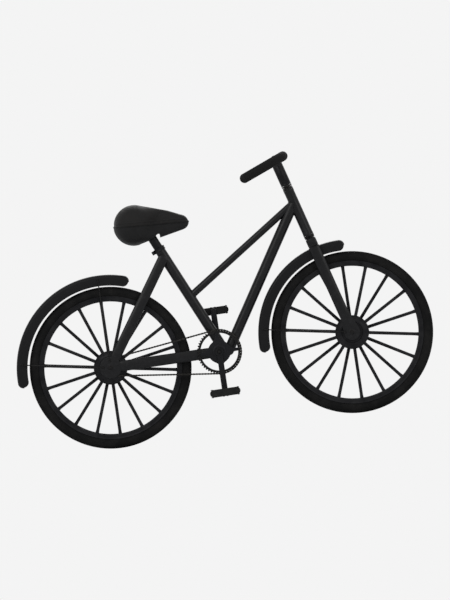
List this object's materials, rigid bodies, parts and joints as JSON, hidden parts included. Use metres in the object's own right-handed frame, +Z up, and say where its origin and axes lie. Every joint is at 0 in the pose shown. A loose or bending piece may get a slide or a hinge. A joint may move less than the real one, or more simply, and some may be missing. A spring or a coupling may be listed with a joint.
{
  "type": "bicycle",
  "caption": "Step-through city bicycle with mudguards, swept-back handlebar, coaster brake, chain drive and padded saddle; steering, wheels, cranks, pedals, seat and stem move.",
  "frame": {"origin": "on the ground under the middle of the bicycle's outline, with both wheels standing on z = 0", "axes": "+X forward, the way it rides; +Y to the rider's left; +Z up; the wheels, cranks and pedals turn about Y"},
  "size_m": [1.8531, 0.6132, 1.194],
  "materials": {
    "frame_paint": "black gloss enamel",
    "tyre_rubber": "matte black tyre rubber",
    "grip_rubber": "soft matte black rubber",
    "alloy": "black anodised, satin",
    "bar_alloy": "black anodised, satin",
    "steel": "blackened steel, satin",
    "plastic": "moulded black, satin",
    "cushion": "black vinyl cover over foam"
  },
  "bodies": {
    "frame": {"head_tube": "frame_paint", "top_tube": "frame_paint", "down_tube": "frame_paint", "seat_tube": "frame_paint", "bottom_bracket_shell": "frame_paint", "chain_stay_left": "frame_paint", "chain_stay_right": "frame_paint", "seat_stay_left": "frame_paint", "seat_stay_right": "frame_paint", "dropout_left": "frame_paint", "dropout_right": "frame_paint", "seat_stay_bridge": "frame_paint", "kickstand_plate": "frame_paint", "seat_collar": "steel", "headset_cup_lower": "steel", "headset_cup_upper": "steel", "bracket_cup_left": "steel", "bracket_cup_right": "steel", "rear_mudguard": "plastic", "rear_guard_stay_upper": "steel", "rear_guard_stay_lower": "steel", "chain": "steel", "rear_axle": "steel", "brake_arm": "steel"},
    "fork": {"headset_lock_nut": "steel", "steerer_tube": "steel", "fork_crown": "frame_paint", "fork_blade_left": "frame_paint", "fork_blade_right": "frame_paint", "front_axle": "steel", "front_mudguard": "plastic", "front_guard_stay": "steel"},
    "stem": {"stem": "alloy", "handlebar": "bar_alloy", "grip_left": "grip_rubber", "grip_right": "grip_rubber"},
    "front_wheel": {"front_tyre": "tyre_rubber", "front_rim": "alloy", "front_hub": "alloy", "front_spokes_left": "alloy", "front_spokes_right": "alloy"},
    "rear_wheel": {"rear_tyre": "tyre_rubber", "rear_rim": "alloy", "rear_hub": "alloy", "rear_spokes_left": "alloy", "rear_spokes_right": "alloy"},
    "driver": {"rear_sprocket": "steel"},
    "cranks": {"crank_spindle": "steel", "crank_left": "alloy", "crank_right": "alloy", "chainring": "steel", "pedal_spindle_left": "steel", "pedal_spindle_right": "steel"},
    "pedal_left": {"pedal_left": "plastic"},
    "pedal_right": {"pedal_right": "plastic"},
    "seatpost": {"seatpost": "alloy"},
    "saddle": {"saddle_clamp": "alloy", "saddle_rails": "steel", "saddle_base": "plastic", "saddle_cushion": "cushion"}
  },
  "joints": [
    {"name": "steering", "type": "hinge", "parent": "frame", "child": "fork", "pos_m": [0.4108, 0, 0.9158], "axis": [0.2723, 0, -0.9622], "range_deg": [-75, 75]},
    {"name": "stem_slide", "type": "slide", "parent": "fork", "child": "stem", "axis": [-0.2723, 0, 0.9622], "range_m": [0, 0.04]},
    {"name": "front_wheel_spin", "type": "hinge", "parent": "fork", "child": "front_wheel", "pos_m": [0.5686, 0, 0.358], "axis": [0, 1, 0], "continuous": true},
    {"name": "rear_wheel_spin", "type": "hinge", "parent": "frame", "child": "rear_wheel", "pos_m": [-0.5106, 0, 0.358], "axis": [0, 1, 0], "continuous": true},
    {"name": "crank_spin", "type": "hinge", "parent": "frame", "child": "cranks", "pos_m": [-0.025, 0, 0.358], "axis": [0, 1, 0], "continuous": true},
    {"name": "sprocket_spin", "type": "hinge", "parent": "frame", "child": "driver", "pos_m": [-0.5106, 0, 0.358], "axis": [0, 1, 0], "continuous": true},
    {"name": "pedal_right_spin", "type": "hinge", "parent": "cranks", "child": "pedal_right", "pos_m": [-0.025, -0.12, 0.177], "axis": [0, 1, 0], "continuous": true},
    {"name": "pedal_left_spin", "type": "hinge", "parent": "cranks", "child": "pedal_left", "pos_m": [-0.025, 0.12, 0.539], "axis": [0, 1, 0], "continuous": true},
    {"name": "seatpost_slide", "type": "slide", "parent": "frame", "child": "seatpost", "axis": [-0.4139, 0, 0.9103], "range_m": [0, 0.15]},
    {"name": "saddle_tilt", "type": "hinge", "parent": "seatpost", "child": "saddle", "pos_m": [-0.25355, 0, 0.915], "axis": [0, 1, 0], "range_deg": [-10, 10]}
  ],
  "couplings": [
    {"joint": "sprocket_spin", "follows": "crank_spin", "ratio": 2.6667}
  ]
}
